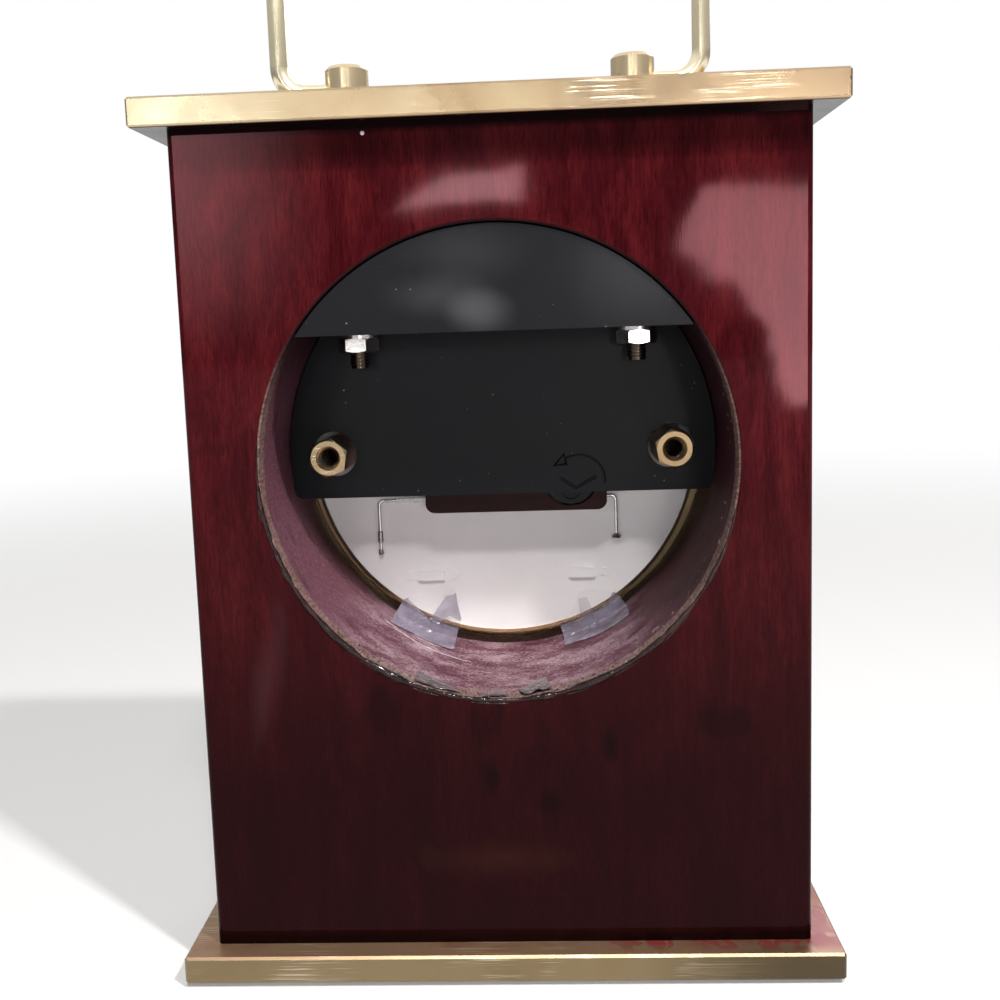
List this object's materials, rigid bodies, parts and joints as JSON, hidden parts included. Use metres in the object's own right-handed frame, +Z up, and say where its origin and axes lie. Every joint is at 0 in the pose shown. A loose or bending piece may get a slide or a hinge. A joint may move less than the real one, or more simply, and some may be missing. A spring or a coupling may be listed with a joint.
{
  "type": "bracket clock",
  "caption": "Table clock in a lacquered wooden block between brass plates, with a swinging brass handle, a round front dial and an open round back recess.",
  "frame": {"origin": "on the table under the middle of the clock, at the underside of the felt pads", "axes": "+Z up, -Y out of the dial, +Y out of the open back, +X to the right as seen from the dial side"},
  "size_m": [0.142, 0.064, 0.236],
  "materials": {
    "lacquered_wood": "deep red mahogany stain under high-gloss lacquer",
    "brass": "polished and lightly worn",
    "steel": "bright",
    "nickel": "nickel plated",
    "felt": "dark green felt",
    "black_plastic": "fine satin moulded",
    "gloss_black": "glossy moulded",
    "glass": "clear flat mineral glass",
    "white_plastic": "satin white",
    "dial_white": "matt off-white enamel paint",
    "clear_tape": "clear adhesive tape, slightly hazy",
    "rubber": "matt",
    "gear_plastic": "natural acetal",
    "hand_black": "satin black",
    "circuit_board": "green solder resist",
    "copper_wire": "enamelled copper winding"
  },
  "bodies": {
    "case": {"base_plate": "brass", "base_screws": "steel", "bezel": "brass", "bore_moulding": "black_plastic", "case_block": "lacquered_wood", "cell": "nickel", "circuit_board": "circuit_board", "contact_negative": "nickel", "contact_positive": "nickel", "cover_posts": "brass", "crystal": "nickel", "dial": "dial_white", "dial_back": "white_plastic", "drive_coil": "copper_wire", "fixing_nut": "brass", "fixing_washer": "rubber", "foot_pads": "felt", "glass": "glass", "handle_post_left": "brass", "handle_post_right": "brass", "movement_case": "gloss_black", "movement_clip_left": "steel", "movement_clip_right": "steel", "movement_lid": "gloss_black", "post_nuts": "nickel", "post_washers": "nickel", "spacer_ring": "white_plastic", "stator": "steel", "tape_tabs": "clear_tape", "top_plate": "brass"},
    "handle": {"handle": "brass"},
    "minute_hand": {"cannon_pinion": "brass", "minute_hand": "hand_black", "hand_cap": "brass"},
    "hour_hand": {"hour_wheel": "gear_plastic", "hour_hand": "hand_black"},
    "minute_wheel": {"minute_wheel": "gear_plastic"},
    "set_knob": {"set_knob": "gloss_black"}
  },
  "joints": [
    {"name": "handle_swing", "type": "hinge", "parent": "case", "child": "handle", "pos_m": [0, 0, 0.193], "axis": [1, 0, 0], "range_deg": [-95, 95]},
    {"name": "minute_hand_turn", "type": "hinge", "parent": "case", "child": "minute_hand", "pos_m": [0, -0.02, 0.112], "axis": [0, 1, 0], "continuous": true},
    {"name": "hour_hand_turn", "type": "hinge", "parent": "case", "child": "hour_hand", "pos_m": [0, -0.02, 0.112], "axis": [0, 1, 0], "continuous": true},
    {"name": "minute_wheel_turn", "type": "hinge", "parent": "case", "child": "minute_wheel", "pos_m": [-0.00761, -0.012, 0.10844], "axis": [0, 1, 0], "continuous": true},
    {"name": "set_knob_turn", "type": "hinge", "parent": "case", "child": "set_knob", "pos_m": [-0.01601, -0.0082, 0.1045], "axis": [0, 1, 0], "continuous": true}
  ],
  "couplings": [
    {"joint": "hour_hand_turn", "follows": "minute_hand_turn", "ratio": 0.083333},
    {"joint": "minute_wheel_turn", "follows": "minute_hand_turn", "ratio": -0.33333},
    {"joint": "set_knob_turn", "follows": "minute_hand_turn", "ratio": 0.70588}
  ]
}
